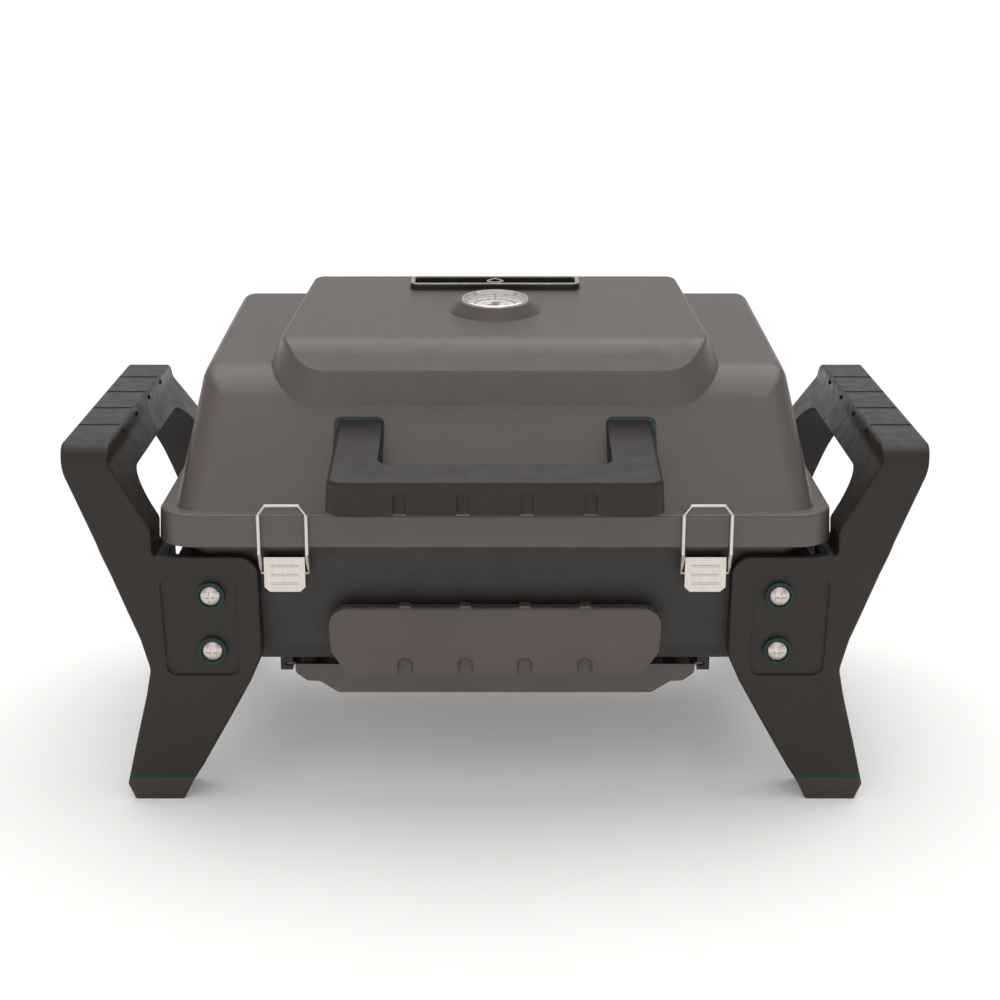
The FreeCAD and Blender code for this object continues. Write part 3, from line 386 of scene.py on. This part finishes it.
# ------------------------------------------------------------------ dial print
LID_SLOPE = 0.072           # rise of the lid's raised middle, which the gauge is square to
DIAL_TILT = math.atan(LID_SLOPE)
dial_low, dial_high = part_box("gauge_dial")
dial_turn = Matrix.Rotation(DIAL_TILT, 3, "X")
dial_middle = (dial_low + dial_high) / 2
# from the dial's middle up to its face
dial_lift = (dial_high.z - dial_low.z - (dial_high.y - dial_low.y) * math.sin(DIAL_TILT)) / 2


def on_dial(x, y, z):
    """(x, y, z) in metres on the dial face, z measured up from the face."""
    return dial_middle + dial_turn @ Vector((x, y, z + dial_lift))


# millimetres and degrees; the scale runs clockwise from its end angle to its start, seen from above
SCALE_START, SCALE_END = -45, 225
MAJOR_STEP, MINOR_STEP = 45, 15
MAJOR_TICK = (17.9, 21.6, 0.8)      # inner radius, outer radius, width
MINOR_TICK = (18.2, 20.2, 0.45)
TRACK = (15.6, 17.4)                # inner and outer radius of the coloured track
RED_BANDS = ((120, 222, 22), (-42, 20, 16))     # start angle, end angle, steps
DARK_BAND = (24, 116, 20)
INNER_RING = (9.6, 10.1)
RING_DASH, RING_STEP = 44, 60
INK = 0.12                          # thickness of the print

major_angles = range(SCALE_START, SCALE_END + 1, MAJOR_STEP)
minor_angles = [a for a in range(SCALE_START, SCALE_END + 1, MINOR_STEP) if (a - SCALE_START) % MAJOR_STEP]
PRINT_JOBS = {
    "dial_scale_red": ([arc_band(*TRACK, *band) for band in RED_BANDS], "pointer_red"),
    "dial_scale_dark": ([arc_band(*TRACK, *DARK_BAND)], "badge_black"),
    "dial_ticks_major": ([tick(*MAJOR_TICK, a) for a in major_angles], "badge_black"),
    "dial_ticks_minor": ([tick(*MINOR_TICK, a) for a in minor_angles], "badge_black"),
    "dial_inner_ring": ([arc_band(*INNER_RING, a, a + RING_DASH, 8) for a in range(8, 360, RING_STEP)],
                        "pointer_red"),
}
for piece_name, (outlines, look) in PRINT_JOBS.items():
    verts, faces = slabs([in_metres(outline) for outline in outlines], 0.0, INK * MM, on_dial)
    build(piece_name, verts, faces, look, "lid")


# ------------------------------------------------------------ gas side details
knob_low, knob_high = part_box("control_knob")
panel_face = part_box("gas_panel")[1].x
inlet_seal_low, inlet_seal_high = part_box("inlet_seal")
knob_middle = (knob_low + knob_high) / 2
PRINT = 0.15 * MM        # how far printed marks stand off a face


def on_panel(x, y, z):
    """(x, y) in metres on the panel's outer face as seen from the right, z outward, knob at the middle."""
    return Vector((panel_face + z, knob_middle.y + x, knob_middle.z + y))


def panel_marks():
    """Low-to-high crescent and an off mark round the knob."""
    steps = 14
    inner, outer, off_reach, off_width = 23.2, 25.4, 26.4, 1.6      # mm
    start, sweep, thin_end = 20.0, 120.0, 0.25

    def crescent_point(share, radius):
        turn = math.radians(start - sweep * share)
        return radius * math.cos(turn), radius * math.sin(turn)

    shares = [i / steps for i in range(steps + 1)]
    crescent = [crescent_point(share, inner) for share in shares]
    crescent += [crescent_point(share, inner + (outer - inner) * (thin_end + (1.0 - thin_end) * share))
                 for share in reversed(shares)]
    off_mark = tick(inner, off_reach, off_width, 90.0)
    verts, faces = slabs([in_metres(crescent), in_metres(off_mark)], 0.0, PRINT, on_panel)
    build("panel_marks", verts, faces, "dial_white", "base")


def knob_index():
    """White line printed on the outer face of the knob's grip."""
    half, reach, start = 0.7 * MM, 14.0 * MM, 3.0 * MM

    def on_grip(x, y, z):
        return Vector((knob_high.x + z, knob_middle.y + x, knob_middle.z + y))

    line = [(-half, start), (half, start), (half, reach), (-half, reach)]
    verts, faces = slabs([line], 0.0, PRINT, on_grip)
    build("knob_index", verts, faces, "dial_white", "knob")


def inlet_thread():
    """Flat-crested thread ridge wound along the inlet's bore, fading out at both ends."""
    axis_y = (inlet_seal_low.y + inlet_seal_high.y) / 2
    axis_z = (inlet_seal_low.z + inlet_seal_high.z) / 2
    bore, pitch, turns, per_turn, fading = 12.22 * MM, 1.27 * MM, 9, 40, 12
    depth, half, crest = 0.55 * MM, 0.4 * MM, 0.3
    profile = ((-half, 0.0), (-half * crest, depth), (half * crest, depth), (half, 0.0))
    start = inlet_seal_high.x + 2.6 * MM
    steps = turns * per_turn
    verts, faces = [], []
    for i in range(steps + 1):
        turn = 2.0 * math.pi * i / per_turn
        x = start + pitch * i / per_turn
        fade = min(1.0, i / fading, (steps - i) / fading)
        for along, inward in profile:
            radius = bore - inward * fade
            verts.append((x + along, axis_y + radius * math.cos(turn), axis_z + radius * math.sin(turn)))
    for i in range(steps):
        a, b = 4 * i, 4 * i + 4
        faces += [(a + k, a + (k + 1) % 4, b + (k + 1) % 4, b + k) for k in range(4)]
    faces += [(3, 2, 1, 0), tuple(len(verts) - 4 + k for k in range(4))]
    build("inlet_thread", verts, faces, "brass", "base", smooth=True)


panel_marks()
knob_index()
inlet_thread()


# --------------------------------------------------------------------- studio
FLOOR_HALF = 40.0
FLOOR_GLOW = 0.12
PAPER = ((0.965, 0.962, 0.95, 1.0), (0.975, 0.972, 0.96, 1.0))
WARM_WHITE = (1.0, 0.995, 0.98, 1.0)
SKY_WHITE = (1.0, 0.99, 0.975, 1.0)
COVE_BAND = (0.08, 0.30)        # rise of the view direction over which the cove turns into ceiling
COVE_GLOW, CEILING_GLOW = 1.06, 0.46


def sun_light(name, towards, strength, spread):
    """A broad, even source: towards points from the object to the light."""
    data = bpy.data.lights.new(name, "SUN")
    data.energy = strength
    data.angle = math.radians(spread)
    lamp = bpy.data.objects.new(name, data)
    scene.collection.objects.link(lamp)
    lamp.rotation_euler = Vector(towards).to_track_quat("Z", "Y").to_euler()


def make_floor():
    mesh = bpy.data.meshes.new("studio_floor")
    corners = [(-FLOOR_HALF, -FLOOR_HALF, 0), (FLOOR_HALF, -FLOOR_HALF, 0),
               (FLOOR_HALF, FLOOR_HALF, 0), (-FLOOR_HALF, FLOOR_HALF, 0)]
    mesh.from_pydata(corners, [], [(0, 1, 2, 3)])
    floor = bpy.data.objects.new("studio_floor", mesh)
    scene.collection.objects.link(floor)
    f = Finish("floor_paper", specular=0.1)
    f.colour(f.mixed(f.ranged(f.noise(3.0, 4.0), *NOISE_BAND, 0.0, 1.0), *PAPER))
    f.roughness(f.noise(30.0, 3.0), 0.85, 0.95)
    f.shader.inputs["Emission Color"].default_value = WARM_WHITE
    f.shader.inputs["Emission Strength"].default_value = FLOOR_GLOW
    floor.data.materials.append(f.material)


def make_world():
    """A pale cove along the horizon under a softer ceiling."""
    world = bpy.data.worlds.new("studio")
    scene.world = world
    world.use_nodes = True
    sky = world.node_tree
    background = sky.nodes["Background"]
    background.inputs["Color"].default_value = SKY_WHITE
    direction = sky.nodes.new("ShaderNodeTexCoord").outputs["Generated"]
    rise = sky.nodes.new("ShaderNodeSeparateXYZ")
    cove = sky.nodes.new("ShaderNodeMapRange")
    for socket, value in zip(("From Min", "From Max", "To Min", "To Max"),
                             (*COVE_BAND, COVE_GLOW, CEILING_GLOW)):
        cove.inputs[socket].default_value = value
    sky.links.new(direction, rise.inputs[0])
    sky.links.new(rise.outputs["Z"], cove.inputs["Value"])
    sky.links.new(cove.outputs["Result"], background.inputs["Strength"])


make_floor()
make_world()
sun_light("top_soft", towards=(0.05, 0.42, 1.0), strength=1.5, spread=62.0)
sun_light("front_soft", towards=(-0.1, -1.0, 0.75), strength=0.55, spread=70.0)
scene.view_settings.view_transform = "Standard"

# --------------------------------------------------------------------- camera
CAMERA_PLACE = (0.0, -1.38158, 0.60894)     # straight in front, above the lid
LOOKS_DOWN = 17.0                           # degrees below level
LENS, SENSOR = 66.29, 36.0                  # mm

camera_data = bpy.data.cameras.new("photo_camera")
camera_data.sensor_width = SENSOR
camera_data.lens = LENS
camera_data.shift_x = 0.005
camera_data.clip_start, camera_data.clip_end = 0.05, 100.0
camera = bpy.data.objects.new("photo_camera", camera_data)
scene.collection.objects.link(camera)
camera.location = CAMERA_PLACE
camera.rotation_euler = (math.radians(90.0 - LOOKS_DOWN), 0.0, 0.0)
scene.camera = camera
